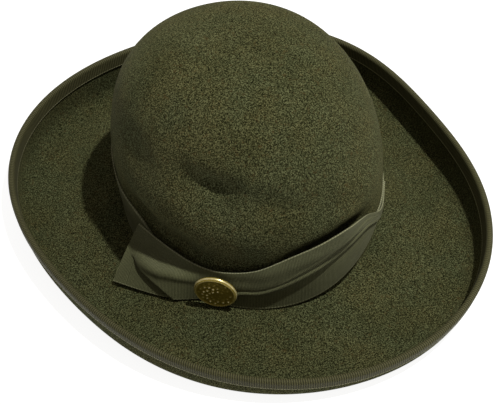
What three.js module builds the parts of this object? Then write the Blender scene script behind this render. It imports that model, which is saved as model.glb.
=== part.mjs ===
// A wide felt hat. Crown and brim are one felt piece, the brim turned up all round at its edge.
// A folded binding covers the edge, a ribbon goes round the crown, and a draped ribbon over it
// is held by a round metal button and ends in a cut tail that lies on the brim.
// Millimetres, +Z up. The brim rests on z = 0, the wearer's front is -Y and their right is -X.
// A turn is an angle round the crown: 0 is +X, 90 the back, 180 the wearer's right, 270 the front.
import * as THREE from 'three';

// Thicknesses and clearance
const FELT = 2.4;
const RIBBON = 1.0;
const BINDING = 0.8;
const SEAM = 0.3;

// Head oval, measured on the outside of the felt where the crown meets the brim
const HEAD_HALF_WIDTH = 87;
const HEAD_HALF_DEPTH = 101;

// Crown: the wall starts above a small fillet, and the top leans a little to one side
const BRIM_HEIGHT = 10;
const FILLET = 3;
const CROWN_BASE = BRIM_HEIGHT + FILLET;
const CROWN_HEIGHT = 138;
const CROWN_SWELL = 0.055;
const CROWN_LEAN = new THREE.Vector2(-8.5, 6);

// Brim: a flat ring under it rests on the table, then the felt bends up
const REST_WIDTH = 12;
const BEND_RADIUS = 12;
const BINDING_WIDTH = 7;

// Ribbon round the crown, and the button on it
const BAND_START = 1;
const BAND_DIP = 0.8;
const BUTTON_TURN = 232;
const BUTTON_HEIGHT = 26.5;
const BUTTON_RADIUS = 14.5;
const BUTTON_OFF = 6.8;
const BUTTON_TIP = 1;

// Numbers of facets
const TURNS = 56;
const CROWN_ROWS = 20;
const SLOPE_ROWS = 4;
const BEND_ROWS = 5;
const BAND_ROWS = 5;
const SASH_STEPS = 26;
const SASH_ROWS = 5;
const BUTTON_SIDES = 24;

// Brim every 45 degrees of turn: width up to the bend, angle of the bend, straight lip after it
const BRIM_TABLE = [
  { turn: 0, width: 43, bend: 86, lip: 20 },
  { turn: 45, width: 52, bend: 88, lip: 16 },
  { turn: 90, width: 34, bend: 88, lip: 24 },
  { turn: 135, width: 60, bend: 84, lip: 19 },
  { turn: 180, width: 55, bend: 84, lip: 14 },
  { turn: 225, width: 54, bend: 88, lip: 12 },
  { turn: 270, width: 62, bend: 88, lip: 6 },
  { turn: 315, width: 62, bend: 76, lip: 17 },
];

// Crown every 90 degrees of turn: how square its shoulder is, 2 being an ellipse
const SHOULDER_TABLE = [
  { turn: 0, power: 3.2 },
  { turn: 90, power: 2.5 },
  { turn: 180, power: 3.2 },
  { turn: 270, power: 2.8 },
];

// Band every 45 degrees of turn: height of its upper edge above the brim, and how far its
// lower edge stands out
const BAND_TABLE = [
  { turn: 0, top: 36, flare: 0.6 },
  { turn: 45, top: 39, flare: 0.2 },
  { turn: 90, top: 42, flare: 0.2 },
  { turn: 135, top: 43, flare: 0.2 },
  { turn: 180, top: 42, flare: 0.6 },
  { turn: 225, top: 31, flare: 1.8 },
  { turn: 270, top: 40, flare: 2.8 },
  { turn: 315, top: 33, flare: 1.2 },
];

// Soft dents (inwards) and lumps (outwards) of the crown: place, size in degrees of turn and
// as a share of the crown's height, and how far the felt moves
const DENT_TABLE = [
  { turn: 222, rise: 0.675, wide: 8, tall: 0.07, push: -3.0 },
  { turn: 235, rise: 0.655, wide: 9, tall: 0.085, push: -6.4 },
  { turn: 249, rise: 0.635, wide: 10, tall: 0.06, push: -2.2 },
  { turn: 264, rise: 0.59, wide: 12, tall: 0.05, push: -1.8 },
  { turn: 281, rise: 0.52, wide: 10, tall: 0.05, push: -2.2 },
  { turn: 198, rise: 0.665, wide: 10, tall: 0.09, push: -4.2 },
  { turn: 166, rise: 0.55, wide: 20, tall: 0.12, push: -1.8 },
  { turn: 168, rise: 0.84, wide: 24, tall: 0.12, push: 2.2 },
  { turn: 238, rise: 0.49, wide: 15, tall: 0.07, push: 2.0 },
  { turn: 205, rise: 0.50, wide: 14, tall: 0.09, push: 2.0 },
  { turn: 300, rise: 0.50, wide: 18, tall: 0.08, push: 2.4 },
  { turn: 196, rise: 0.26, wide: 14, tall: 0.12, push: -4.2 },
  { turn: 218, rise: 0.25, wide: 14, tall: 0.12, push: -4.0 },
  { turn: 242, rise: 0.26, wide: 14, tall: 0.11, push: -3.6 },
  { turn: 268, rise: 0.34, wide: 13, tall: 0.07, push: -4.4 },
  { turn: 290, rise: 0.375, wide: 12, tall: 0.06, push: -7.0 },
];

// Draped ribbon, from its hidden end at the wearer's left, past the button to the cut tail.
// Each row places its upper and its lower edge: the turn, how far it stands off the crown, and
// how high it is above the brim. The belly is how far its middle stands out further.
const SASH_TABLE = [
  { upTurn: 326, upOff: 2.4, upLift: 27, lowTurn: 326, lowOff: 2.3, lowLift: 17, belly: 0.2 },
  { upTurn: 308, upOff: 3.0, upLift: 37, lowTurn: 308, lowOff: 2.6, lowLift: 28, belly: 0.6 },
  { upTurn: 294, upOff: 7.0, upLift: 54, lowTurn: 294, lowOff: 4.2, lowLift: 44, belly: 1.0 },
  { upTurn: 281, upOff: 8.2, upLift: 62.5, lowTurn: 281, lowOff: 4.8, lowLift: 45, belly: 1.4 },
  { upTurn: 270, upOff: 7.4, upLift: 58, lowTurn: 270, lowOff: 4.8, lowLift: 39.5, belly: 1.6 },
  { upTurn: 259, upOff: 5.6, upLift: 50.5, lowTurn: 260, lowOff: 4.8, lowLift: 29.5, belly: 1.6 },
  { upTurn: 248, upOff: 3.6, upLift: 38, lowTurn: 249, lowOff: 4.8, lowLift: 22, belly: 1.2 },
  { upTurn: 240, upOff: 2.6, upLift: 32, lowTurn: 241, lowOff: 4.6, lowLift: 17.5, belly: 0.6 },
  { upTurn: 231, upOff: 2.3, upLift: 29, lowTurn: 231, lowOff: 4.6, lowLift: 8, belly: 0.2 },
  { upTurn: 222, upOff: 2.3, upLift: 28, lowTurn: 222, lowOff: 9, lowLift: 1.4, belly: 1.0 },
  { upTurn: 211, upOff: 2.3, upLift: 29, lowTurn: 213, lowOff: 17, lowLift: 1.6, belly: 1.5 },
  { upTurn: 201, upOff: 2.5, upLift: 29, lowTurn: 204, lowOff: 24, lowLift: 4.4, belly: 1.5 },
  { upTurn: 190, upOff: 2.8, upLift: 28, lowTurn: 196, lowOff: 34, lowLift: 7.0, belly: 1.0 },
];

const FELT_LOOK = { color: 0x3a3d27, roughness: 0.95, metalness: 0 };
const BINDING_LOOK = { color: 0x4b4d35, roughness: 0.7, metalness: 0 };
const RIBBON_LOOK = { color: 0x40432f, roughness: 0.65, metalness: 0 };
const BUTTON_LOOK = { color: 0x8a7434, roughness: 0.38, metalness: 1 };

const radians = THREE.MathUtils.degToRad;

// Smooth closed curve through equally spaced table rows, as a sum of cosines
function around(table, column, turn) {
  const half = table.length / 2;
  let total = 0;
  for (const row of table) {
    const gap = radians(turn - row.turn);
    let weight = 1 + Math.cos(half * gap);
    for (let wave = 1; wave < half; wave += 1) {
      weight += 2 * Math.cos(wave * gap);
    }
    total += (row[column] * weight) / table.length;
  }
  return total;
}

function headRadius(turn) {
  const across = HEAD_HALF_DEPTH * Math.cos(radians(turn));
  const along = HEAD_HALF_WIDTH * Math.sin(radians(turn));
  return (HEAD_HALF_WIDTH * HEAD_HALF_DEPTH) / Math.hypot(across, along);
}

// Shortest way between two turns, in degrees
function turnGap(first, second) {
  return ((first - second + 540) % 360) - 180;
}

function dentPush(turn, rise) {
  let push = 0;
  for (const dent of DENT_TABLE) {
    const side = turnGap(turn, dent.turn) / dent.wide;
    const up = (rise - dent.rise) / dent.tall;
    push += dent.push * Math.exp(-side * side - up * up);
  }
  return push;
}

// A section point holds its radius, height, the tilt of its outward normal, its share of the
// crown's height, and how far the felt is pushed out there
function crownPoint(turn, rise) {
  const power = around(SHOULDER_TABLE, 'power', turn);
  const reach = (1 - rise ** power) ** (1 / power);
  const head = headRadius(turn);
  return {
    radius: head * reach * (1 + CROWN_SWELL * Math.sin(Math.PI * rise)),
    height: CROWN_BASE + CROWN_HEIGHT * rise,
    tilt: Math.atan2(rise ** (power - 1) / CROWN_HEIGHT, reach ** (power - 1) / head),
    rise,
    push: dentPush(turn, rise),
  };
}

// Crown point in the direction of a slope angle seen from the middle of the crown's base
function crownAtSlope(turn, slope) {
  const power = around(SHOULDER_TABLE, 'power', turn);
  const up = Math.sin(slope);
  const out = Math.cos(slope);
  return crownPoint(turn, up / (up ** power + out ** power) ** (1 / power));
}

function brimPoint(radius, height, tilt) {
  return { radius, height, tilt, rise: 0, push: 0 };
}

// Share of the way down the brim's slope for a distance out from the crown
function slopeShare(turn, off) {
  const run = around(BRIM_TABLE, 'width', turn) - FILLET - REST_WIDTH;
  return THREE.MathUtils.clamp((off - FILLET) / run, 0, 1);
}

function brimHeight(turn, off) {
  const drop = (1 - Math.cos(Math.PI * slopeShare(turn, off))) / 2;
  return BRIM_HEIGHT - (BRIM_HEIGHT - FELT) * drop;
}

function slopePoint(turn, share) {
  const run = around(BRIM_TABLE, 'width', turn) - FILLET - REST_WIDTH;
  const steep = ((BRIM_HEIGHT - FELT) / run) * (Math.PI / 2) * Math.sin(Math.PI * share);
  const off = FILLET + run * share;
  return brimPoint(headRadius(turn) + off, brimHeight(turn, off), Math.PI / 2 - Math.atan(steep));
}

function filletPoint(turn, share) {
  const angle = (share * Math.PI) / 2;
  const radius = headRadius(turn) + FILLET * (1 - Math.cos(angle));
  return brimPoint(radius, CROWN_BASE - FILLET * Math.sin(angle), angle);
}

// Point of the turned-up edge, a distance back from its end along the felt
function edgePoint(turn, back) {
  const bend = radians(around(BRIM_TABLE, 'bend', turn));
  const lip = around(BRIM_TABLE, 'lip', turn);
  const start = headRadius(turn) + around(BRIM_TABLE, 'width', turn);
  const onLip = Math.max(lip - back, 0);
  const angle = bend - Math.max(back - lip, 0) / BEND_RADIUS;
  const radius = start + BEND_RADIUS * Math.sin(angle) + onLip * Math.cos(angle);
  const height = FELT + BEND_RADIUS * (1 - Math.cos(angle)) + onLip * Math.sin(angle);
  return brimPoint(radius, height, Math.PI / 2 + angle);
}

// A section point in space, moved a distance along its outward normal
function place(turn, point, depth = 0) {
  const move = depth + point.push;
  const radius = point.radius + move * Math.cos(point.tilt);
  const lean = point.rise ** 1.5;
  return new THREE.Vector3(
    radius * Math.cos(radians(turn)) + CROWN_LEAN.x * lean,
    radius * Math.sin(radians(turn)) + CROWN_LEAN.y * lean,
    point.height + move * Math.sin(point.tilt),
  );
}

// Closed solid from rings of points; with two poles the first and last ring are single points
function solidFromRings(rings, poles) {
  const count = rings[1].length;
  const positions = rings.flat().flatMap((point) => [point.x, point.y, point.z]);
  const starts = [];
  let total = 0;
  for (const ring of rings) {
    starts.push(total);
    total += ring.length;
  }
  const index = [];
  const last = poles ? rings.length - 1 : rings.length;
  for (let row = 0; row < last; row += 1) {
    const next = (row + 1) % rings.length;
    for (let side = 0; side < count; side += 1) {
      const ahead = (side + 1) % count;
      const nearA = starts[row] + (rings[row].length > 1 ? side : 0);
      const nearB = starts[row] + (rings[row].length > 1 ? ahead : 0);
      const farA = starts[next] + (rings[next].length > 1 ? side : 0);
      const farB = starts[next] + (rings[next].length > 1 ? ahead : 0);
      if (nearA !== nearB) {
        index.push(nearA, farA, nearB);
      }
      if (farA !== farB) {
        index.push(nearB, farA, farB);
      }
    }
  }
  const geometry = new THREE.BufferGeometry();
  geometry.setAttribute('position', new THREE.Float32BufferAttribute(positions, 3));
  geometry.setIndex(index);
  geometry.computeVertexNormals();
  return geometry;
}

function turnsAround() {
  return Array.from({ length: TURNS }, (_, side) => (side * 360) / TURNS);
}

// Rows of the felt's upper side, from the fillet out to the end of the lip
function brimRows() {
  const rows = [(turn) => filletPoint(turn, 0.5)];
  for (let row = 0; row <= SLOPE_ROWS; row += 1) {
    rows.push((turn) => slopePoint(turn, row / SLOPE_ROWS));
  }
  for (let row = 0; row <= BEND_ROWS; row += 1) {
    rows.push((turn) => {
      const bend = radians(around(BRIM_TABLE, 'bend', turn)) * BEND_RADIUS;
      return edgePoint(turn, around(BRIM_TABLE, 'lip', turn) + bend * (1 - row / BEND_ROWS));
    });
  }
  rows.push((turn) => edgePoint(turn, 0));
  return rows;
}

// Points round the end of the lip, on a half circle about the middle of the felt
function placeOnRound(turn, angle, reach) {
  const end = edgePoint(turn, 0);
  const middle = place(turn, end, -FELT / 2);
  const outward = place(turn, end, 1).sub(place(turn, end));
  const onward = place(turn, { ...end, tilt: end.tilt - Math.PI / 2 }, 1).sub(place(turn, end));
  return middle
    .addScaledVector(outward, reach * Math.cos(angle))
    .addScaledVector(onward, reach * Math.sin(angle));
}

function feltGeometry() {
  const rows = [];
  for (let row = 1; row <= CROWN_ROWS; row += 1) {
    const slope = (Math.PI / 2) * (1 - row / CROWN_ROWS);
    rows.push((turn) => crownAtSlope(turn, slope));
  }
  rows.push(...brimRows());
  const ring = (row, depth) => turnsAround().map((turn) => place(turn, row(turn), depth));
  const upper = rows.map((row) => ring(row, 0));
  const lower = rows.map((row) => ring(row, -FELT)).reverse();
  const end = turnsAround().map((turn) => placeOnRound(turn, Math.PI / 2, FELT / 2));
  const top = place(0, { ...crownPoint(0, 1), radius: 0 });
  const underTop = place(0, { ...crownPoint(0, 1), radius: 0 }, -FELT);
  return solidFromRings([[top], ...upper, end, ...lower, [underTop]], true);
}

// One side of the folded binding, as steps back from the end of the lip
function bindingSide(depth) {
  const steps = [BINDING_WIDTH, BINDING_WIDTH * 0.55, BINDING_WIDTH * 0.1];
  return steps.map((back) => (turn) => place(turn, edgePoint(turn, back), depth));
}

function bindingRound(reach) {
  const angles = [20, 90, 160];
  return angles.map((angle) => (turn) => placeOnRound(turn, radians(angle), reach));
}

function bindingGeometry() {
  const outside = SEAM + BINDING;
  const section = [
    ...bindingSide(outside),
    ...bindingRound(FELT / 2 + outside),
    ...bindingSide(-FELT - outside).reverse(),
    ...bindingSide(-FELT - SEAM),
    ...bindingRound(FELT / 2 + SEAM).reverse(),
    ...bindingSide(SEAM).reverse(),
  ];
  return solidFromRings(section.map((point) => turnsAround().map(point)), false);
}

// A point of the crown's wall at a height above the brim
function wallPoint(turn, lift) {
  return crownPoint(turn, Math.max(BRIM_HEIGHT + lift - CROWN_BASE, 0) / CROWN_HEIGHT);
}

// The band flares over the lower part of its height, so its lower edge clears the fillet
function bandGeometry() {
  const side = (depth) =>
    Array.from({ length: BAND_ROWS + 1 }, (_, row) =>
      turnsAround().map((turn) => {
        const share = row / BAND_ROWS;
        const flare = around(BAND_TABLE, 'flare', turn);
        const bottom = FILLET + BAND_START - BAND_DIP * flare;
        const top = around(BAND_TABLE, 'top', turn);
        const lift = top + (bottom - top) * share;
        const spot = place(turn, wallPoint(turn, lift), depth + flare * share ** 2);
        return spot.setZ(BRIM_HEIGHT + lift);
      }),
    );
  return solidFromRings([...side(SEAM + RIBBON), ...side(SEAM).reverse()], false);
}

// Place standing off the crown's wall, a height above the brim under it
function offWall(turn, off, lift) {
  const wall = place(turn, wallPoint(turn, lift));
  const shift = new THREE.Vector3(Math.cos(radians(turn)), Math.sin(radians(turn)), 0);
  wall.addScaledVector(shift, off);
  wall.z = brimHeight(turn, off) + lift;
  return wall;
}

function middleOf(ring) {
  const sum = new THREE.Vector3();
  for (const spot of ring) {
    sum.add(spot);
  }
  return sum.divideScalar(ring.length);
}

function sashGeometry() {
  const upper = SASH_TABLE.map((row) => offWall(row.upTurn, row.upOff, row.upLift));
  const lower = SASH_TABLE.map((row) => offWall(row.lowTurn, row.lowOff, row.lowLift));
  const bellies = SASH_TABLE.map((row) => new THREE.Vector3(row.belly, 0, 0));
  const upperEdge = new THREE.CatmullRomCurve3(upper);
  const lowerEdge = new THREE.CatmullRomCurve3(lower);
  const bellyCurve = new THREE.CatmullRomCurve3(bellies);
  const point = (along, across) => {
    const low = lowerEdge.getPoint(along);
    const spot = upperEdge.getPoint(along).lerp(low, across);
    const out = new THREE.Vector3(spot.x, spot.y, 0).normalize();
    const belly = bellyCurve.getPoint(along).x * Math.sin(Math.PI * across);
    return spot.addScaledVector(out, belly);
  };
  const nudge = 0.01;
  const face = (along, across, depth) => {
    const before = Math.max(along - nudge, 0);
    const after = Math.min(along + nudge, 1);
    const forward = point(after, across).sub(point(before, across));
    const above = Math.max(across - nudge, 0);
    const below = Math.min(across + nudge, 1);
    const down = point(along, below).sub(point(along, above));
    return point(along, across).addScaledVector(forward.cross(down).normalize(), depth);
  };
  const rings = [];
  for (let step = 0; step <= SASH_STEPS; step += 1) {
    const along = step / SASH_STEPS;
    const shares = Array.from({ length: SASH_ROWS + 1 }, (_, row) => row / SASH_ROWS);
    const outside = shares.map((across) => face(along, across, RIBBON));
    const inside = shares.map((across) => face(along, across, 0)).reverse();
    rings.push([...outside, ...inside]);
  }
  return solidFromRings([[middleOf(rings[0])], ...rings, [middleOf(rings[SASH_STEPS])]], true);
}

// Button: a domed disc with a raised rim, a ring and a centre boss, its axis along +Z
function buttonGeometry() {
  const profile = [
    { radius: 0, height: 0 },
    { radius: BUTTON_RADIUS - 1.5, height: 0 },
    { radius: BUTTON_RADIUS, height: 1.4 },
    { radius: BUTTON_RADIUS - 0.4, height: 2.9 },
    { radius: BUTTON_RADIUS - 1.5, height: 3.3 },
    { radius: BUTTON_RADIUS - 2.8, height: 2.7 },
    { radius: BUTTON_RADIUS - 4.6, height: 2.9 },
    { radius: 6.2, height: 3.4 },
    { radius: 3.4, height: 3.6 },
    { radius: 2.2, height: 4.3 },
    { radius: 0, height: 4.6 },
  ];
  const points = profile.map((row) => new THREE.Vector2(row.radius, row.height));
  const geometry = new THREE.LatheGeometry(points, BUTTON_SIDES);
  geometry.rotateX(Math.PI / 2);
  return geometry;
}

function namedMesh(name, geometry, look) {
  const mesh = new THREE.Mesh(geometry, new THREE.MeshStandardMaterial(look));
  mesh.name = name;
  return mesh;
}

const button = namedMesh('button', buttonGeometry(), BUTTON_LOOK);
button.position.copy(offWall(BUTTON_TURN, BUTTON_OFF, BUTTON_HEIGHT - BRIM_HEIGHT));
button.rotation.set(radians(90 + BUTTON_TIP), 0, radians(BUTTON_TURN + 90), 'ZYX');

const hat = new THREE.Group();
hat.add(
  namedMesh('felt_body', feltGeometry(), FELT_LOOK),
  namedMesh('edge_binding', bindingGeometry(), BINDING_LOOK),
  namedMesh('ribbon_band', bandGeometry(), RIBBON_LOOK),
  namedMesh('ribbon_sash', sashGeometry(), RIBBON_LOOK),
  button,
);

// The origin is under the middle of the hat's outline
const outline = new THREE.Box3().setFromObject(hat);
const centre = outline.getCenter(new THREE.Vector3());
hat.position.set(-centre.x, -centre.y, 0);

export default hat;
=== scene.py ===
"""A wide felt hat lying on a pale floor: felt body, bound edge, ribbon, draped sash with a cut tail,
and a round metal button. Every shape is worked out in millimetres, from tables like those of the
solids but with finer dents and folds, and scaled to metres when its mesh is made. A turn is an angle
round the hat in degrees: 0 is the wearer's left, 90 the back, 180 the right and 270 the front."""
import math

import bmesh
import bpy
import numpy as np
from mathutils import Matrix, Vector


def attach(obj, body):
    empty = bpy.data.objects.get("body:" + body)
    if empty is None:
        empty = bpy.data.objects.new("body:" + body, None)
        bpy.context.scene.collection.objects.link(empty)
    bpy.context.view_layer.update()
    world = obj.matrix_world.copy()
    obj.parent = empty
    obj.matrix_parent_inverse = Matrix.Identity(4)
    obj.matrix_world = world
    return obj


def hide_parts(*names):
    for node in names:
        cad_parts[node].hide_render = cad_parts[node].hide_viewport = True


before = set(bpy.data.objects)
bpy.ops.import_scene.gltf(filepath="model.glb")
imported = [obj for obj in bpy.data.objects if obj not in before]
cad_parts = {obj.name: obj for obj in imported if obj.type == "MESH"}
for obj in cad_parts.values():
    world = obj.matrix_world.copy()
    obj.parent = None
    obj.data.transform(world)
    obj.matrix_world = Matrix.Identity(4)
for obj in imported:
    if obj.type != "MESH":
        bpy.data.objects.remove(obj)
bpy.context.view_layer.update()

MM = 0.001

# Tolerances: how near points in metres are merged, how far a curve's last place stays below its
# last row, and a curve's shortest step in millimetres
MERGE_DISTANCE = 1e-6
JUST_BELOW = 1e-9
SHORTEST_STEP = 1e-8

# Thicknesses, and the gap between pieces that touch
FELT = 2.4
RIBBON = 0.9
BINDING = 0.8
SEAM = 0.3

# Crown and brim. The head's oval is the felt's outer side where the two meet. The crown swells by a
# share of its radius, and its top leans over. The brim rests on a flat ring REST_WIDTH wide.
HEAD_HALF_WIDTH = 87.0
HEAD_HALF_DEPTH = 101.0
BRIM_HEIGHT = 10.0
FILLET = 3.0
CROWN_BASE = BRIM_HEIGHT + FILLET
CROWN_HEIGHT = 138.0
CROWN_SWELL = 0.055
CROWN_LEAN = (-8.5, 6.0)
LEAN_POWER = 1.5
REST_WIDTH = 12.0
BEND_RADIUS = 12.0

# The felt's grid: points round it, rows from the crown's top to the lip, angles round the lip's end
FELT_TURNS = 320
CROWN_ROWS = 84
FILLET_SHARES = (0.2, 0.4, 0.6, 0.8)
SLOPE_ROWS = 18
BEND_ROWS = 16
LIP_SHARES = (0.25, 0.5, 0.75, 1.0)
LIP_ROUND = (30, 60, 90, 120, 150)

# Binding: the solid's legs, how far the visible one covers the lip inside and outside, the angles
# of its rows round the lip's end, and its other rows as shares of a leg
BINDING_WIDTH = 7.0
BINDING_INSIDE = 8.6
BINDING_OUTSIDE = 4.6
BINDING_TURNS = 720
BINDING_ROUND = (15, 40, 65, 90, 115, 140, 165)
BINDING_STEPS = np.array([1.0, 0.96, 0.90, 0.8, 0.6, 0.4, 0.2, 0.04])

# Where the solid binding has its outermost points: sides, angles round the lip, shares of a leg
OUTLINE_SIDES = 56
OUTLINE_ROUND = (20, 90, 160)
OUTLINE_LEG = (0.1, 0.55)

# Band: how far above the fillet its lower edge starts, how far that dips for each millimetre it
# stands out, how the standing out grows downwards, and its rows as shares of its width
BAND_TURNS = 1000
BAND_START = 1.0
BAND_DIP = 0.8
BAND_BULGE = 1.3
BAND_ROWS = np.concatenate([[0, 0.012, 0.026], np.linspace(0.08, 0.92, 9), [0.952, 0.972, 1]])

# Sash: steps along it, and its rows as shares of its width
SASH_STEPS = 520
SASH_ROWS = np.concatenate([[0, 0.012], np.linspace(0.026, 0.974, 53), [0.988, 1]])

# Ribbed cloths: a darker colour between the ribs, painted shade, and a lighter one on them, painted
# highlight; the colour of the loops at the edges, a painted highlight; and the distance from rib to
# rib
BINDING_LOOK = dict(
    dark=(0.024, 0.023, 0.010), light=(0.090, 0.086, 0.040), picot=(0.45, 0.43, 0.27),
    pitch=1.5, sheen=0.05, roughness=0.62)
RIBBON_LOOK = dict(
    dark=(0.059, 0.062, 0.030), light=(0.117, 0.120, 0.063), picot=(0.26, 0.26, 0.16),
    pitch=1.0, sheen=0.1, roughness=0.55)

# The width that a cloth's places span, and the loops at its edges, painted light as a highlight: the
# share of the width that they take up, the share in which they fade out, and the distance from loop to
# loop
BINDING_CLOTH = 50.0
RIBBON_CLOTH = 38.0
BAND_PICOT = 0.045
SASH_PICOT = 0.025
PICOT_FADE = 0.015
PICOT_PITCH = 2.1

# Button: a domed disc with a raised rim, and a field of small grains set in a spiral. It stands off
# the crown, its face tips down by some degrees, and its rim and edge are worn bright.
BUTTON_TURN = 232.0
BUTTON_HEIGHT = 26.5
BUTTON_RADIUS = 14.5
BUTTON_OFF = 6.5
BUTTON_TIP = 1.0
BUTTON_THICK = 2.7
BUTTON_DOME = 0.5
BUTTON_FACE = BUTTON_RADIUS - 0.6
BUTTON_MIDDLE = 0.3
BUTTON_SIDES = 192
BUTTON_RINGS = 60
BUTTON_RIM = dict(radius=13.1, wide=0.75, tall=0.75)
BUTTON_WEAR = 0.6
GRAINS = dict(count=40, field=11.3, spread=0.75, tall=0.55, varies=0.40, order=2.3)
GOLDEN_ANGLE = math.pi * (3 - math.sqrt(5))

# Camera, in degrees and metres, and where the point looked at falls from the middle of the
# picture, in pixels right and down
CAMERA_AZIMUTH = -26.0
CAMERA_ELEVATION = 46.5
CAMERA_DISTANCE = 0.9
CAMERA_FOCAL = 92.8
SENSOR_WIDTH = 36
LOOK_AT = Vector((0, 0, 0.040))
LOOK_PLACE = (-1.0, -38.0)
PICTURE_WIDTH = 500

# Lamp in degrees, metres and watts, the side where the soft light is brightest, and the floor
KEY_AZIMUTH = 42
KEY_ELEVATION = 73.5
KEY_DISTANCE = 4.0
KEY_REACH = 0.42
KEY_RADIUS = 0.06
KEY_POWER = 680
KEY_COLOUR = (1.0, 1.0, 0.93)
KEY_TARGET = Vector((0.10, 0.02, 0.03))
BRIGHT_AZIMUTH = 120
BRIGHT_ELEVATION = 55
FLOOR_HALF = 6.0

# Brim every 45 degrees of turn: width up to the bend, angle of the bend, straight lip after it
BRIM_TABLE = [
    dict(turn=0, width=43, bend=86, lip=20),
    dict(turn=45, width=52, bend=88, lip=16),
    dict(turn=90, width=34, bend=88, lip=24),
    dict(turn=135, width=60, bend=84, lip=19),
    dict(turn=180, width=55, bend=84, lip=14),
    dict(turn=225, width=54, bend=88, lip=12),
    dict(turn=270, width=62, bend=88, lip=6),
    dict(turn=315, width=62, bend=76, lip=17),
]

# Crown every 90 degrees of turn: how square its shoulder is, 2 being an ellipse
SHOULDER_TABLE = [
    dict(turn=0, power=3.2),
    dict(turn=90, power=2.5),
    dict(turn=180, power=3.2),
    dict(turn=270, power=2.8),
]

# Band every 45 degrees of turn: upper edge above the brim, and how far the lower edge stands out
BAND_TABLE = [
    dict(turn=0, top=36, flare=0.6),
    dict(turn=45, top=39, flare=0.2),
    dict(turn=90, top=42, flare=0.2),
    dict(turn=135, top=46, flare=0.2),
    dict(turn=180, top=31, flare=1.2),
    dict(turn=225, top=23, flare=4.2),
    dict(turn=270, top=36, flare=3.4),
    dict(turn=315, top=33, flare=0.4),
]

# Where the band's lower edge climbs the crown, under the hidden end of the sash
BAND_CLIMB = dict(turn=318, wide=34, lift=26)

# Soft dents (inwards) and lumps (outwards) of the crown: place, size in degrees of turn and as a
# share of the crown's height (another one under its middle, if it is uneven), and how far the
# felt moves
DENT_TABLE = [
    dict(turn=220, rise=0.700, wide=8, tall=0.060, under=0.12, push=-5.2),
    dict(turn=234, rise=0.674, wide=10.5, tall=0.060, under=0.165, push=-11.6),
    dict(turn=251, rise=0.640, wide=10, tall=0.05, under=0.11, push=-3.8),
    dict(turn=264, rise=0.59, wide=12, tall=0.05, push=-1.8),
    dict(turn=281, rise=0.52, wide=10, tall=0.05, push=-2.2),
    dict(turn=191, rise=0.66, wide=13, tall=0.09, under=0.13, push=-4.6),
    dict(turn=166, rise=0.55, wide=20, tall=0.12, push=-1.8),
    dict(turn=168, rise=0.84, wide=24, tall=0.12, push=2.2),
    dict(turn=240, rise=0.47, wide=15, tall=0.07, push=1.2),
    dict(turn=205, rise=0.50, wide=14, tall=0.09, push=1.2),
    dict(turn=300, rise=0.50, wide=18, tall=0.08, push=2.4),
    dict(turn=192, rise=0.26, wide=14, tall=0.11, under=0.12, push=-7.6),
    dict(turn=216, rise=0.25, wide=14, tall=0.10, under=0.11, push=-6.8),
    dict(turn=240, rise=0.25, wide=14, tall=0.09, under=0.10, push=-5.6),
    dict(turn=266, rise=0.30, wide=10, tall=0.065, push=-6.4),
    dict(turn=284, rise=0.315, wide=11, tall=0.06, push=-10.5),
]

# Draped ribbon from its hidden end at the wearer's left, past the button to the cut tail. Each row
# places its upper and its lower edge: the turn, how far it stands off the crown, how high it is
# above the brim. The belly is how far its middle stands out further.
SASH_TABLE = [
    dict(up_turn=326, up_off=2.0, up_lift=27, low_turn=326, low_off=1.9, low_lift=17, belly=0.2),
    dict(up_turn=308, up_off=1.7, up_lift=33, low_turn=308, low_off=1.8, low_lift=25, belly=0.4),
    dict(up_turn=295.5, up_off=2.8, up_lift=47.5, low_turn=294, low_off=2.8, low_lift=39.5, belly=0.6),
    dict(up_turn=280.5, up_off=6.6, up_lift=62.4, low_turn=282, low_off=4.0, low_lift=38, belly=1.4),
    dict(up_turn=270, up_off=5.6, up_lift=58.7, low_turn=270, low_off=3.4, low_lift=34, belly=1.6),
    dict(up_turn=259, up_off=3.9, up_lift=48.5, low_turn=259, low_off=2.8, low_lift=25.6, belly=1.6),
    dict(up_turn=248, up_off=4.0, up_lift=38, low_turn=249, low_off=3.4, low_lift=17.2, belly=1.2),
    dict(up_turn=240, up_off=4.0, up_lift=32, low_turn=241, low_off=3.6, low_lift=14.2, belly=0.6),
    dict(up_turn=231, up_off=3.4, up_lift=29, low_turn=231, low_off=5.0, low_lift=4.5, belly=0.2),
    dict(up_turn=222, up_off=3.3, up_lift=28, low_turn=222, low_off=9.0, low_lift=1.4, belly=1.0),
    dict(up_turn=211, up_off=3.5, up_lift=29, low_turn=213, low_off=17, low_lift=1.6, belly=1.5),
    dict(up_turn=201, up_off=3.6, up_lift=29, low_turn=203.5, low_off=23.7, low_lift=2.5, belly=1.5),
    dict(up_turn=190, up_off=4.9, up_lift=28, low_turn=193.9, low_off=32.1, low_lift=3.2, belly=1.0),
]

# The tail's pleat: where its crest runs across the sash, as shares along and across it
CREST_TABLE = [
    dict(along=0.72, across=0.40),
    dict(along=0.81, across=0.445),
    dict(along=0.863, across=0.50),
    dict(along=0.903, across=0.50),
    dict(along=0.931, across=0.485),
    dict(along=0.956, across=0.465),
]

# How tall the pleat is along the sash, in millimetres
PLEAT_TABLE = [
    dict(along=0.67, tall=0),
    dict(along=0.72, tall=0.8),
    dict(along=0.76, tall=2.4),
    dict(along=0.80, tall=3.8),
    dict(along=0.86, tall=4.8),
    dict(along=0.90, tall=4.6),
    dict(along=0.93, tall=3.4),
    dict(along=0.955, tall=1.4),
    dict(along=0.98, tall=0),
]

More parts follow.
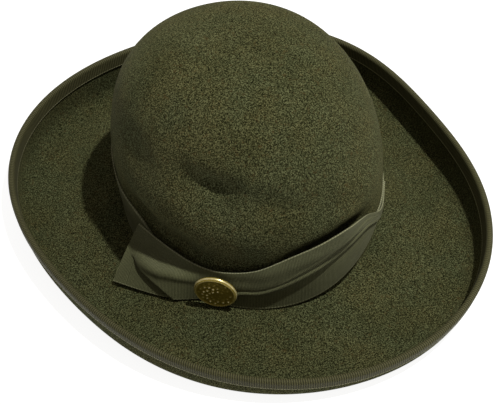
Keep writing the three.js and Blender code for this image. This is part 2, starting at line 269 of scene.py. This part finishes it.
# The slanted line where the pleat's lower layer ends in a step
STEP_TABLE = [
    dict(across=0.40, along=0.985),
    dict(across=0.536, along=0.951),
    dict(across=0.625, along=0.929),
    dict(across=0.696, along=0.894),
    dict(across=0.768, along=0.864),
    dict(across=0.875, along=0.838),
    dict(across=1.0, along=0.814),
]
STEP_BEFORE = 0.008
STEP_AFTER = 0.002
PLEAT_ABOVE = 0.15
PLEAT_BELOW = 0.09
LAYER = 0.60

# The drape before the button: where a narrow pleat runs across it
FOLD_TABLE = [
    dict(along=0.08, across=0.46),
    dict(along=0.183, across=0.50),
    dict(along=0.276, across=0.60),
    dict(along=0.336, across=0.70),
    dict(along=0.397, across=0.79),
    dict(along=0.47, across=0.90),
]

# Ridge and groove of the narrow pleat: how far above its line, width, height in millimetres
FOLD_RIDGES = [
    dict(above=0.06, wide=0.045, tall=0.4),
    dict(above=0.0, wide=0.028, tall=-0.6),
]

# The rolled lower edge: a ridge with a groove above it
ROLL_RIDGES = [
    dict(across=0.945, wide=0.05, tall=1.3),
    dict(across=0.855, wide=0.03, tall=-0.5),
]

# Slack of the drape: height in millimetres, waves across and along
SLACK = dict(tall=0.35, across=1.4, along=2.2)

# Between which shares along the sash the drape's folds start and end, and its narrow pleat ends
DRAPE_START = (0.06, 0.16)
DRAPE_END = (0.63, 0.68)
FOLD_END = (0.40, 0.48)

# The button's edge from its face round to the middle of its back: how far inside its radius, and
# height above the back
BUTTON_EDGE = [
    dict(inset=0.25, height=BUTTON_THICK),
    dict(inset=0.0, height=2.0),
    dict(inset=0.0, height=1.3),
    dict(inset=0.5, height=0.6),
    dict(inset=1.5, height=0.0),
    dict(inset=BUTTON_RADIUS, height=0.0),
]


# Curves

def around(table, name, turn):
    """Smooth closed curve through equally spaced table rows, as a sum of cosines."""
    half = len(table) // 2
    total = 0.0
    for row in table:
        gap = np.radians(turn - row["turn"])
        weight = 1 + np.cos(half * gap)
        for wave in range(1, half):
            weight = weight + 2 * np.cos(wave * gap)
        total = total + row[name] * weight / len(table)
    return total


def column(table, name):
    return np.array([float(row[name]) for row in table])


def look_up(table, at, given, wanted):
    """One column of a table at values of another one, in straight lines between its rows."""
    return np.interp(at, column(table, given), column(table, wanted))


def turn_gap(turn, middle):
    """Turn from the middle, between -180 and 180 degrees."""
    return (turn - middle + 540) % 360 - 180


def ease(x, start, end):
    """Smooth rise from 0 at the start to 1 at the end."""
    t = np.clip((x - start) / (end - start), 0, 1)
    return t * t * (3 - 2 * t)


def ridge(x, width):
    return np.exp(-((x / width) ** 2))


def smooth_line(points, share):
    """Centripetal spline through points, at shares of the way from the first row to the last."""
    count = len(points) - 1
    at = np.clip(share * count, 0, count - JUST_BELOW)
    first = at.astype(int)
    t = (at - first)[:, None]
    padded = np.concatenate([[2 * points[0] - points[1]], points, [2 * points[-1] - points[-2]]])
    steps = np.linalg.norm(np.diff(padded, axis=0), axis=1)
    gaps = np.maximum(steps, SHORTEST_STEP) ** 0.5
    a, b, c, d = (padded[first + step] for step in range(4))
    gap_a, gap_b, gap_c = (gaps[first + step][:, None] for step in range(3))
    leave = ((b - a) / gap_a - (c - a) / (gap_a + gap_b) + (c - b) / gap_b) * gap_b
    arrive = ((c - b) / gap_b - (d - b) / (gap_b + gap_c) + (d - c) / gap_c) * gap_b
    square = -3 * b + 3 * c - 2 * leave - arrive
    cube = 2 * b - 2 * c + leave + arrive
    return b + leave * t + square * t**2 + cube * t**3


def lengths_along(points):
    """Running length along a line of points, starting at zero."""
    steps = np.linalg.norm(np.diff(points, axis=0), axis=1)
    return np.concatenate([[0], np.cumsum(steps)])


# Sections of the felt

def head_radius(turn):
    across = HEAD_HALF_DEPTH * np.cos(np.radians(turn))
    along = HEAD_HALF_WIDTH * np.sin(np.radians(turn))
    return HEAD_HALF_WIDTH * HEAD_HALF_DEPTH / np.hypot(across, along)


def dent_push(turn, rise):
    """How far the dents and lumps move the crown's felt outwards."""
    push = np.zeros(np.broadcast(turn, rise).shape)
    for dent in DENT_TABLE:
        side = turn_gap(turn, dent["turn"]) / dent["wide"]
        tall = np.where(rise > dent["rise"], dent["tall"], dent.get("under", dent["tall"]))
        up = (rise - dent["rise"]) / tall
        push = push + dent["push"] * np.exp(-side * side - up * up)
    return push


def section_point(radius, height, tilt, rise=0.0, push=0.0):
    """A point of the felt's upper side: radius, height, tilt of its normal, share of the crown's
    height, and how far a dent moves it."""
    return dict(radius=radius, height=height, tilt=tilt, rise=rise, push=push)


def crown_point(turn, rise):
    power = around(SHOULDER_TABLE, "power", turn)
    reach = np.maximum(1 - rise**power, 0) ** (1 / power)
    head = head_radius(turn)
    radius = head * reach * (1 + CROWN_SWELL * np.sin(np.pi * rise))
    tilt = np.arctan2(rise ** (power - 1) / CROWN_HEIGHT, reach ** (power - 1) / head)
    return section_point(radius, CROWN_BASE + CROWN_HEIGHT * rise, tilt, rise, dent_push(turn, rise))


def crown_at_slope(turn, slope):
    """The crown's point in a direction between the base, 0, and the top, a quarter circle."""
    power = around(SHOULDER_TABLE, "power", turn)
    up = np.sin(slope)
    out = np.cos(slope)
    return crown_point(turn, up / (up**power + out**power) ** (1 / power))


def slope_run(turn):
    return around(BRIM_TABLE, "width", turn) - FILLET - REST_WIDTH


def brim_height(turn, off):
    """Height of the brim's upper side, a distance off the crown."""
    share = np.clip((off - FILLET) / slope_run(turn), 0, 1)
    return BRIM_HEIGHT - (BRIM_HEIGHT - FELT) * (1 - np.cos(np.pi * share)) / 2


def slope_point(turn, share):
    run = slope_run(turn)
    steep = (BRIM_HEIGHT - FELT) / run * np.pi / 2 * np.sin(np.pi * share)
    off = FILLET + run * share
    return section_point(head_radius(turn) + off, brim_height(turn, off), np.pi / 2 - np.arctan(steep))


def fillet_point(turn, share):
    angle = share * np.pi / 2
    radius = head_radius(turn) + FILLET * (1 - math.cos(angle))
    return section_point(radius, CROWN_BASE - FILLET * math.sin(angle), angle)


def edge_point(turn, back):
    """Point of the turned-up edge, a distance back from its end along the felt."""
    bend = np.radians(around(BRIM_TABLE, "bend", turn))
    lip = around(BRIM_TABLE, "lip", turn)
    start = head_radius(turn) + around(BRIM_TABLE, "width", turn)
    on_lip = np.maximum(lip - back, 0)
    angle = bend - np.maximum(back - lip, 0) / BEND_RADIUS
    radius = start + BEND_RADIUS * np.sin(angle) + on_lip * np.cos(angle)
    height = FELT + BEND_RADIUS * (1 - np.cos(angle)) + on_lip * np.sin(angle)
    return section_point(radius, height, np.pi / 2 + angle)


def place(turn, point, depth=0.0):
    """A section point in space, moved a distance along its outward normal. Millimetres."""
    move = depth + point["push"]
    radius = point["radius"] + move * np.cos(point["tilt"])
    lean = point["rise"] ** LEAN_POWER
    x = radius * np.cos(np.radians(turn)) + CROWN_LEAN[0] * lean
    y = radius * np.sin(np.radians(turn)) + CROWN_LEAN[1] * lean
    z = point["height"] + move * np.sin(point["tilt"])
    return np.stack(np.broadcast_arrays(x, y, z), -1)


def place_on_round(turn, angle, reach):
    """Points round the end of the lip, on a half circle about the middle of the felt."""
    end = edge_point(turn, 0.0)
    middle = place(turn, end, -FELT / 2)
    outward = place(turn, end, 1.0) - place(turn, end)
    onward_end = dict(end, tilt=end["tilt"] - np.pi / 2)
    onward = place(turn, onward_end, 1.0) - place(turn, onward_end)
    return middle + reach * (math.cos(angle) * outward + math.sin(angle) * onward)


def wall_point(turn, lift):
    """The crown's point at a height above the brim."""
    return crown_point(turn, np.maximum(BRIM_HEIGHT + lift - CROWN_BASE, 0) / CROWN_HEIGHT)


def off_wall(turn, off, lift):
    """Place standing off the crown's wall, a height above the brim under it."""
    wall = place(turn, wall_point(turn, lift))
    shift = np.stack([np.cos(np.radians(turn)), np.sin(np.radians(turn)), np.zeros_like(turn)], -1)
    spot = wall + shift * np.asarray(off)[..., None]
    spot[..., 2] = brim_height(turn, off) + lift
    return spot


def outline_centre():
    """Middle of the box round the solid binding's outermost points: there the origin lies."""
    turn = np.linspace(0, 360, OUTLINE_SIDES + 1)[:-1]
    outside = SEAM + BINDING
    angles = np.radians(OUTLINE_ROUND)
    backs = [BINDING_WIDTH * share for share in OUTLINE_LEG]
    rings = [place_on_round(turn, angle, FELT / 2 + outside) for angle in angles]
    rings += [place(turn, edge_point(turn, back), -FELT - outside) for back in backs]
    points = np.concatenate(rings)
    middle = (points.min(0) + points.max(0)) / 2
    return np.array([middle[0], middle[1], 0.0])


CENTRE = outline_centre()


# Meshes

def grid_mesh(name, grid, wrap_rows=False, wrap_columns=False, uv=None):
    """Mesh object from a grid of points in millimetres; uv is a grid of places along and across."""
    rows, columns = grid.shape[:2]
    vertices = (grid.reshape(-1, 3) - CENTRE) * MM
    row = np.arange(rows if wrap_rows else rows - 1)
    across = np.arange(columns if wrap_columns else columns - 1)
    r, c = np.meshgrid(row, across, indexing="ij")
    corners = [(r, c), (r, c + 1), (r + 1, c + 1), (r + 1, c)]
    faces = np.stack([(a % rows) * columns + b % columns for a, b in corners], -1).reshape(-1, 4)
    mesh = bpy.data.meshes.new(name)
    mesh.from_pydata(vertices.tolist(), [], faces.tolist())
    if uv is not None:
        places = np.stack([uv[a, b] for a, b in corners], 2).reshape(-1, 2)
        mesh.uv_layers.new(name="cloth").data.foreach_set("uv", places.ravel())
    mesh.shade_smooth()
    piece = bpy.data.objects.new(name, mesh)
    bpy.context.scene.collection.objects.link(piece)
    return piece


def cloth_places(run, across):
    """Grid of cloth places in metres, a row for each place across and a column for each along."""
    along, over = np.meshgrid(run * MM, across * MM)
    return np.stack([along, over], -1)


def both_faces(share):
    """Shares across a ribbon's face and back again across its other face."""
    return np.concatenate([share, share[::-1]])


def merge_doubles(piece):
    work = bmesh.new()
    work.from_mesh(piece.data)
    bmesh.ops.remove_doubles(work, verts=work.verts, dist=MERGE_DISTANCE)
    bmesh.ops.recalc_face_normals(work, faces=work.faces)
    work.to_mesh(piece.data)
    work.free()


def point_attribute(piece, name, values):
    piece.data.attributes.new(name, "FLOAT", "POINT").data.foreach_set("value", values.ravel())


def mark_edges(piece, rows, columns):
    """Tells the material where a ribbon's edges are, for the painted highlight on their picot threads.
    """
    point_attribute(piece, "edge", np.repeat(rows[:, None], columns, axis=1))


def on_edge(share, wide):
    """1 on the two long edges of a ribbon, falling to 0 at this share of its width."""
    return np.clip((np.abs(share - 0.5) - 0.5 + wide) / PICOT_FADE, 0, 1)


# Materials

def new_material(name):
    material = bpy.data.materials.new(name)
    material.use_nodes = True
    tree = material.node_tree
    return material, tree, tree.nodes["Principled BSDF"]


def set_inputs(node, values):
    for name, value in values.items():
        node.inputs[name].default_value = value


def feed(tree, socket, value):
    """Sets a socket to a number or a colour, or links another node's output to it."""
    if isinstance(value, (int, float)):
        socket.default_value = value
    elif isinstance(value, tuple):
        socket.default_value = (*value, 1)
    else:
        tree.links.new(value, socket)


def grey(value):
    return (value, value, value)


def object_place(tree):
    return tree.nodes.new("ShaderNodeTexCoord").outputs["Object"]


def split_vector(tree, vector):
    node = tree.nodes.new("ShaderNodeSeparateXYZ")
    tree.links.new(vector, node.inputs[0])
    return node.outputs


def read_attribute(tree, name):
    node = tree.nodes.new("ShaderNodeAttribute")
    node.attribute_name = name
    return node.outputs["Fac"]


def colour_ramp(tree, factor, stops):
    ramp = tree.nodes.new("ShaderNodeValToRGB")
    while len(ramp.color_ramp.elements) < len(stops):
        ramp.color_ramp.elements.new(0.5)
    for element, (position, colour) in zip(ramp.color_ramp.elements, stops):
        element.position = position
        element.color = (*colour, 1)
    tree.links.new(factor, ramp.inputs[0])
    return ramp.outputs[0]


def noise_texture(tree, coordinates, scale, detail, roughness):
    texture = tree.nodes.new("ShaderNodeTexNoise")
    set_inputs(texture, {"Scale": scale, "Detail": detail, "Roughness": roughness})
    tree.links.new(coordinates, texture.inputs["Vector"])
    return texture.outputs["Fac"]


def mix_colour(tree, factor, first, second, blend="MIX"):
    mix = tree.nodes.new("ShaderNodeMix")
    mix.data_type = "RGBA"
    mix.blend_type = blend
    feed(tree, mix.inputs[0], factor)
    feed(tree, mix.inputs[6], first)
    feed(tree, mix.inputs[7], second)
    return mix.outputs[2]


def multiply_colours(tree, first, *others):
    for other in others:
        first = mix_colour(tree, 1.0, first, other, "MULTIPLY")
    return first


def maths(tree, operation, first, second=0.0, third=0.0):
    node = tree.nodes.new("ShaderNodeMath")
    node.operation = operation
    for socket, value in zip(node.inputs, (first, second, third)):
        feed(tree, socket, value)
    return node.outputs[0]


def sine_wave(tree, along, pitch, middle, height):
    """Sine wave along a length, about its middle value."""
    turns = maths(tree, "MULTIPLY", along, 2 * math.pi / pitch)
    return maths(tree, "MULTIPLY_ADD", maths(tree, "SINE", turns), height, middle)


def bump(tree, height, strength, distance, below=None):
    node = tree.nodes.new("ShaderNodeBump")
    set_inputs(node, {"Strength": strength, "Distance": distance})
    tree.links.new(height, node.inputs["Height"])
    if below is not None:
        tree.links.new(below, node.inputs["Normal"])
    return node.outputs[0]


def felt_material():
    """Matted wool: dark and light green fibres with brown flecks, cloudy patches that are a little
    browner or greener, and painted light: darker near the brim, lighter towards the crown's top."""
    material, tree, shader = new_material("felt")
    spot = object_place(tree)
    fibres = noise_texture(tree, spot, scale=1150, detail=3, roughness=0.7)
    flecks = noise_texture(tree, spot, scale=420, detail=2, roughness=0.6)
    clouds = noise_texture(tree, spot, scale=28, detail=3, roughness=0.55)
    patches = noise_texture(tree, spot, scale=36, detail=2, roughness=0.5)
    lumps = noise_texture(tree, spot, scale=120, detail=3, roughness=0.6)
    green = colour_ramp(tree, fibres, [
        (0.38, (0.003, 0.003, 0.001)),
        (0.50, (0.032, 0.034, 0.014)),
        (0.62, (0.109, 0.113, 0.055)),
    ])
    how_brown = colour_ramp(tree, flecks, [(0.58, grey(0)), (0.72, grey(0.55))])
    flecked = mix_colour(tree, how_brown, green, (0.056, 0.038, 0.014))
    shade = colour_ramp(tree, clouds, [(0.3, (0.86, 0.88, 0.86)), (0.7, (1.12, 1.10, 1.10))])
    hue = colour_ramp(tree, patches, [(0.38, (1.03, 0.99, 0.94)), (0.62, (0.97, 1.01, 1.03))])
    # Painted light: the felt is painted darker near the brim and lighter towards the crown's top, as
    # if the lamp were nearer the top.
    height = maths(tree, "DIVIDE", split_vector(tree, spot)[2], (BRIM_HEIGHT + CROWN_HEIGHT) * MM)
    painted_top_light = colour_ramp(tree, height, [(0.05, (0.92, 0.93, 0.92)), (0.95, (1.08, 1.07, 1.06))])
    tree.links.new(multiply_colours(tree, flecked, shade, hue, painted_top_light), shader.inputs["Base Color"])
    set_inputs(shader, {
        "Roughness": 0.95,
        "Specular IOR Level": 0.04,
        "Sheen Weight": 0.055,
        "Sheen Roughness": 0.6,
        "Sheen Tint": (0.80, 0.77, 0.36, 1),
    })
    soft = bump(tree, lumps, strength=0.25, distance=0.0012)
    fuzz = bump(tree, fibres, strength=0.7, distance=0.0007, below=soft)
    tree.links.new(fuzz, shader.inputs["Normal"])
    return material


def ribbed_material(name, dark, light, picot, pitch, sheen, roughness):
    """Grosgrain: ribs across the ribbon, a pitch apart in millimetres, with painted shade between them
    and painted highlight on them, fine threads, and painted highlight on the picot loops at its edges."""
    material, tree, shader = new_material(name)
    cloth = tree.nodes.new("ShaderNodeUVMap")
    cloth.uv_map = "cloth"
    along = split_vector(tree, cloth.outputs[0])[0]
    spot = object_place(tree)
    threads = noise_texture(tree, spot, scale=1500, detail=2, roughness=0.6)
    clouds = noise_texture(tree, spot, scale=60, detail=2, roughness=0.5)
    rib = sine_wave(tree, along, pitch * MM, middle=0.5, height=0.5)
    loops = sine_wave(tree, along, PICOT_PITCH * MM, middle=0.65, height=0.35)
    speckle = colour_ramp(tree, threads, [(0.3, grey(0.75)), (0.7, grey(1.2))])
    cloudy = colour_ramp(tree, clouds, [(0.3, grey(0.92)), (0.7, grey(1.07))])
    # Painted shade between the ribs and painted highlight on their crests.
    woven = multiply_colours(tree, mix_colour(tree, rib, dark, light), speckle, cloudy)
    # Painted highlight on the picot loops along the edges.
    picot_highlight = maths(tree, "MULTIPLY", read_attribute(tree, "edge"), loops)
    tree.links.new(mix_colour(tree, picot_highlight, woven, picot), shader.inputs["Base Color"])
    set_inputs(shader, {
        "Roughness": roughness,
        "Specular IOR Level": 0.12,
        "Sheen Weight": sheen,
        "Sheen Roughness": 0.4,
        "Sheen Tint": (0.8, 0.8, 0.62, 1),
    })
    fine = bump(tree, threads, strength=0.3, distance=0.0002)
    ribs = bump(tree, rib, strength=0.6, distance=0.0003, below=fine)
    tree.links.new(ribs, shader.inputs["Normal"])
    return material


def gold_material():
    """Antique gold: dark ochre in the recesses, worn bright on the raised parts."""
    material, tree, shader = new_material("antique_gold")
    wear = noise_texture(tree, object_place(tree), scale=700, detail=3, roughness=0.6)
    raised = maths(tree, "ADD", read_attribute(tree, "relief"), maths(tree, "MULTIPLY", wear, 0.35))
    colour = colour_ramp(tree, raised, [
        (0.20, (0.25, 0.19, 0.026)),
        (0.50, (0.42, 0.33, 0.07)),
        (0.90, (1.0, 0.88, 0.52)),
    ])
    rough = colour_ramp(tree, raised, [(0.3, grey(0.50)), (0.9, grey(0.18))])
    tree.links.new(colour, shader.inputs["Base Color"])
    tree.links.new(rough, shader.inputs["Roughness"])
    set_inputs(shader, {"Metallic": 0.6})
    tree.links.new(bump(tree, wear, strength=0.3, distance=0.0002), shader.inputs["Normal"])
    return material


def floor_material():
    """A white table that glows softly, so that the hat's shadow on it stays faint."""
    material, tree, shader = new_material("floor")
    clouds = noise_texture(tree, object_place(tree), scale=3, detail=2, roughness=0.5)
    colour = colour_ramp(tree, clouds, [(0.3, grey(0.29)), (0.7, grey(0.32))])
    tree.links.new(colour, shader.inputs["Base Color"])
    set_inputs(shader, {"Roughness": 0.9, "Emission Color": (1, 1, 1, 1), "Emission Strength": 0.90})
    return material


# Pieces

def upper_rows(turn):
    """Rows of the felt's upper side, from near the top of the crown to the end of the lip."""
    slopes = [math.pi / 2 * (1 - row / CROWN_ROWS) for row in range(1, CROWN_ROWS + 1)]
    rows = [crown_at_slope(turn, slope) for slope in slopes]
    rows += [fillet_point(turn, share) for share in FILLET_SHARES]
    rows += [slope_point(turn, share) for share in np.linspace(0, 1, SLOPE_ROWS)]
    arc = np.radians(around(BRIM_TABLE, "bend", turn)) * BEND_RADIUS
    lip = around(BRIM_TABLE, "lip", turn)
    rows += [edge_point(turn, lip + arc * (1 - share)) for share in np.linspace(0, 1, BEND_ROWS)]
    rows += [edge_point(turn, lip * (1 - share)) for share in LIP_SHARES]
    return rows


def felt_body(material):
    """Crown and brim in one hollow wall, whose under side has every second row of its upper one."""
    turn = np.linspace(0, 360, FELT_TURNS + 1)[:-1]
    rows = upper_rows(turn)
    upper = [place(turn, row) for row in rows]
    end = [place_on_round(turn, math.radians(angle), FELT / 2) for angle in LIP_ROUND]
    lower = [place(turn, row, -FELT) for row in rows[::-1][::2]]
    top_row = dict(crown_point(0.0, 1.0), radius=0.0)
    top = np.broadcast_to(place(0.0, top_row), (FELT_TURNS, 3))
    under_top = np.broadcast_to(place(0.0, top_row, -FELT), (FELT_TURNS, 3))
    grid = np.stack([top, *upper, *end, *lower, under_top])
    piece = grid_mesh("felt", grid, wrap_columns=True)
    merge_doubles(piece)
    piece.data.materials.append(material)
    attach(piece, "root")
    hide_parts("felt_body")


def binding(material):
    """Ribbon folded over the end of the lip, as one closed wall round the hat."""
    turn = np.linspace(0, 360, BINDING_TURNS + 1)
    rim_length = lengths_along(place(turn, edge_point(turn, 0.0)))
    outside = SEAM + BINDING
    inner_leg = BINDING_STEPS * BINDING_INSIDE
    outer_leg = BINDING_STEPS * BINDING_OUTSIDE

    def leg(depth, backs):
        return [place(turn, edge_point(turn, back), depth) for back in backs]

    def round_end(reach, angles):
        return [place_on_round(turn, math.radians(angle), reach) for angle in angles]

    rows = leg(outside, inner_leg)
    rows += round_end(FELT / 2 + outside, BINDING_ROUND)
    rows += leg(-FELT - outside, outer_leg[::-1])
    outer_end = len(rows) - 1
    rows += leg(-FELT - SEAM, outer_leg)
    rows += round_end(FELT / 2 + SEAM, BINDING_ROUND[::-1])
    rows += leg(SEAM, inner_leg[::-1])
    grid = np.stack(rows)
    uv = cloth_places(rim_length, np.linspace(0, BINDING_CLOTH, len(rows) + 1))
    piece = grid_mesh("binding", grid[:, :-1], wrap_rows=True, wrap_columns=True, uv=uv)
    ends = np.zeros(len(rows))
    ends[[0, 1, outer_end - 1, outer_end, outer_end + 1, len(rows) - 1]] = 1
    mark_edges(piece, ends, BINDING_TURNS)
    piece.data.materials.append(material)
    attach(piece, "root")
    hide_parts("edge_binding")


def band(material):
    """Ribbon round the foot of the crown, whose lower edge stands out."""
    turn = np.linspace(0, 360, BAND_TURNS + 1)
    down = BAND_ROWS[:, None]
    flare = around(BAND_TABLE, "flare", turn)
    top = around(BAND_TABLE, "top", turn)
    climb = ridge(turn_gap(turn, BAND_CLIMB["turn"]), BAND_CLIMB["wide"])
    bottom = FILLET + BAND_START - BAND_DIP * flare + BAND_CLIMB["lift"] * climb
    lift = top + (bottom - top) * down
    standing = flare * down**BAND_BULGE

    def face(depth):
        grid = place(np.broadcast_to(turn, lift.shape), wall_point(turn, lift), depth + standing)
        grid[..., 2] = BRIM_HEIGHT + lift
        return grid

    grid = np.concatenate([face(SEAM + RIBBON), face(SEAM)[::-1]])
    run = lengths_along(grid[len(BAND_ROWS) // 2])
    uv = cloth_places(run, np.append(both_faces(BAND_ROWS), 0) * RIBBON_CLOTH)
    piece = grid_mesh("band", grid[:, :-1], wrap_rows=True, wrap_columns=True, uv=uv)
    mark_edges(piece, on_edge(both_faces(BAND_ROWS), BAND_PICOT), BAND_TURNS)
    piece.data.materials.append(material)
    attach(piece, "root")
    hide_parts("ribbon_band")


def tail_pleat(along, across):
    """A rounded pleat from the button into the tail, whose lower layer ends in a steep step."""
    crest = look_up(CREST_TABLE, along, "along", "across")
    tall = look_up(PLEAT_TABLE, along, "along", "tall")
    step_at = look_up(STEP_TABLE, across, "across", "along")
    step = ease(along, step_at + STEP_AFTER, step_at - STEP_BEFORE)
    above = ridge(crest - across, PLEAT_ABOVE)
    below = (LAYER + (1 - LAYER) * ridge(across - crest, PLEAT_BELOW)) * step
    return tall * np.where(across < crest, above, below)


def drape_folds(along, across):
    """A rolled lower edge with a narrow pleat over it, and some slack, up to the button."""
    held = ease(along, *DRAPE_START) * (1 - ease(along, *DRAPE_END))
    roll = sum(row["tall"] * ridge(across - row["across"], row["wide"]) for row in ROLL_RIDGES)
    line = look_up(FOLD_TABLE, along, "along", "across")
    fold = sum(row["tall"] * ridge(across - line + row["above"], row["wide"]) for row in FOLD_RIDGES)
    waves = SLACK["across"] * across + SLACK["along"] * along
    slack = SLACK["tall"] * np.sin(2 * np.pi * waves) * np.sin(np.pi * across)
    return held * (roll + fold * (1 - ease(along, *FOLD_END)) + slack)


def sheet_normal(grid):
    normal = np.cross(np.gradient(grid, axis=1), np.gradient(grid, axis=0))
    return normal / np.linalg.norm(normal, axis=-1, keepdims=True)


def sash_edge(side, along):
    """The sash's upper or lower edge, at shares along it."""
    turn, off, lift = (column(SASH_TABLE, side + name) for name in ("_turn", "_off", "_lift"))
    return smooth_line(off_wall(turn, off, lift), along)


def sash(material):
    """Draped ribbon over the band, from its hidden end past the button to the cut tail."""
    along = np.linspace(0, 1, SASH_STEPS + 1)
    share = SASH_ROWS[:, None]
    across = share[..., None]
    middle = sash_edge("up", along) * (1 - across) + sash_edge("low", along) * across
    out = middle * [1, 1, 0]
    out = out / np.linalg.norm(out, axis=-1, keepdims=True)
    belly = smooth_line(column(SASH_TABLE, "belly")[:, None], along)
    middle = middle + out * belly * np.sin(np.pi * across)
    folds = tail_pleat(along, share) + drape_folds(along, share)
    middle = middle + sheet_normal(middle) * folds[..., None]
    face = middle + sheet_normal(middle) * RIBBON
    grid = np.concatenate([face, middle[::-1]])
    run = lengths_along(face[len(SASH_ROWS) // 2])
    uv = cloth_places(run, np.append(both_faces(SASH_ROWS), 0) * RIBBON_CLOTH)
    piece = grid_mesh("sash", grid, wrap_rows=True, uv=uv)
    mark_edges(piece, on_edge(both_faces(SASH_ROWS), SASH_PICOT), SASH_STEPS + 1)
    piece.data.materials.append(material)
    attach(piece, "root")
    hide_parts("ribbon_sash")


def grain_field(across, up):
    """Height of the small grains at places on the button's face."""
    height = np.zeros(across.shape)
    for grain in range(1, GRAINS["count"] + 1):
        reach = GRAINS["field"] * math.sqrt(grain / GRAINS["count"])
        angle = grain * GOLDEN_ANGLE
        away = (across - reach * math.cos(angle)) ** 2 + (up - reach * math.sin(angle)) ** 2
        tall = GRAINS["tall"] + GRAINS["varies"] * math.sin(grain * GRAINS["order"])
        height = height + tall * np.exp(-away / GRAINS["spread"])
    return height


def button(material):
    """Round button beside the sash, made face up and then stood against the crown."""
    angle = np.linspace(0, 2 * np.pi, BUTTON_SIDES + 1)[:-1]
    rings = np.linspace(BUTTON_MIDDLE, BUTTON_FACE, BUTTON_RINGS)
    radius = np.append(0.0, rings)[:, None]
    across = radius * np.cos(angle)
    up = radius * np.sin(angle)
    dome = BUTTON_THICK + BUTTON_DOME * (1 - (radius / BUTTON_RADIUS) ** 2)
    rim = BUTTON_RIM["tall"] * ridge(radius - BUTTON_RIM["radius"], BUTTON_RIM["wide"])
    grains = grain_field(across, up)
    face = np.stack([across, up, dome + rim + grains], -1)
    edge = (BUTTON_RADIUS - column(BUTTON_EDGE, "inset"))[:, None]
    height = np.broadcast_to(column(BUTTON_EDGE, "height")[:, None], (len(edge), BUTTON_SIDES))
    back = np.stack([edge * np.cos(angle), edge * np.sin(angle), height], -1)
    lift = BUTTON_HEIGHT - BRIM_HEIGHT
    seat = off_wall(np.array([BUTTON_TURN]), np.array([BUTTON_OFF]), np.array([lift]))[0]
    swing = Matrix.Rotation(math.radians(BUTTON_TURN + 90), 3, "Z")
    stand = Matrix.Rotation(math.radians(90 + BUTTON_TIP), 3, "X")
    grid = np.concatenate([face, back]) @ np.array(swing @ stand).T + seat
    piece = grid_mesh("button_disc", grid, wrap_columns=True)
    relief = np.zeros(grid.shape[:2])
    relief[: len(face)] = np.clip(rim * BUTTON_WEAR + grains, 0, 1)
    relief[len(face): len(face) + 2] = BUTTON_WEAR
    point_attribute(piece, "relief", relief)
    merge_doubles(piece)
    piece.data.materials.append(material)
    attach(piece, "root")
    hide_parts("button")


# Floor, light and camera

def floor():
    half = FLOOR_HALF / MM
    grid = np.array([[[-half, -half, 0], [half, -half, 0]], [[-half, half, 0], [half, half, 0]]])
    piece = grid_mesh("floor", grid)
    piece.data.materials.append(floor_material())


def direction(azimuth, elevation):
    """Unit vector from the hat towards a place round it; azimuth 0 is the front, 90 the left."""
    a = math.radians(azimuth)
    e = math.radians(elevation)
    return Vector((math.sin(a) * math.cos(e), -math.cos(a) * math.cos(e), math.sin(e)))


def set_up(name, data, location, target):
    """Puts a lamp or camera in the scene, turned towards its target."""
    thing = bpy.data.objects.new(name, data)
    bpy.context.scene.collection.objects.link(thing)
    thing.location = location
    thing.rotation_euler = (target - thing.location).to_track_quat("-Z", "Y").to_euler()
    return thing


def key_light():
    """A small far spot lamp over the hat's left front, whose cone fades out towards its right."""
    data = bpy.data.lights.new("key", "SPOT")
    data.energy = KEY_POWER
    data.color = KEY_COLOUR
    data.shadow_soft_size = KEY_RADIUS
    data.spot_size = 2 * math.atan(KEY_REACH / KEY_DISTANCE)
    data.spot_blend = 1.0
    away = direction(KEY_AZIMUTH, KEY_ELEVATION) * KEY_DISTANCE
    set_up("key", data, KEY_TARGET + away, KEY_TARGET)


def studio_world():
    """Soft light from all round, strongest from high at the back of the wearer's left."""
    world = bpy.data.worlds.new("studio")
    world.use_nodes = True
    tree = world.node_tree
    background = tree.nodes["Background"]
    towards = tree.nodes.new("ShaderNodeVectorMath")
    towards.operation = "DOT_PRODUCT"
    tree.links.new(tree.nodes.new("ShaderNodeTexCoord").outputs["Generated"], towards.inputs[0])
    towards.inputs[1].default_value = direction(BRIGHT_AZIMUTH, BRIGHT_ELEVATION)
    nearness = maths(tree, "MULTIPLY_ADD", towards.outputs["Value"], 0.5, 0.5)
    colour = colour_ramp(tree, nearness, [
        (0.20, (0.10, 0.088, 0.075)),
        (0.60, (0.26, 0.235, 0.205)),
        (1.00, (0.62, 0.58, 0.52)),
    ])
    tree.links.new(colour, background.inputs["Color"])
    set_inputs(background, {"Strength": 0.8})
    bpy.context.scene.world = world


def camera():
    """The photo's camera: it looks at a point that falls off the picture's middle."""
    data = bpy.data.cameras.new("camera")
    data.lens = CAMERA_FOCAL
    data.sensor_width = SENSOR_WIDTH
    target = LOOK_AT - Vector(CENTRE) * MM
    away = direction(CAMERA_AZIMUTH, CAMERA_ELEVATION) * CAMERA_DISTANCE
    view = set_up("camera", data, target + away, target)
    focal_pixels = CAMERA_FOCAL / SENSOR_WIDTH * PICTURE_WIDTH
    pan = Matrix.Rotation(math.atan(LOOK_PLACE[0] / focal_pixels), 3, "Y")
    tilt = Matrix.Rotation(math.atan(LOOK_PLACE[1] / focal_pixels), 3, "X")
    view.rotation_euler = (view.rotation_euler.to_matrix() @ pan @ tilt).to_euler()
    bpy.context.scene.camera = view


camera()
felt_body(felt_material())
binding(ribbed_material("binding", **BINDING_LOOK))
ribbon_cloth = ribbed_material("ribbon", **RIBBON_LOOK)
band(ribbon_cloth)
sash(ribbon_cloth)
button(gold_material())
floor()
key_light()
studio_world()
bpy.context.scene.view_settings.view_transform = "Standard"
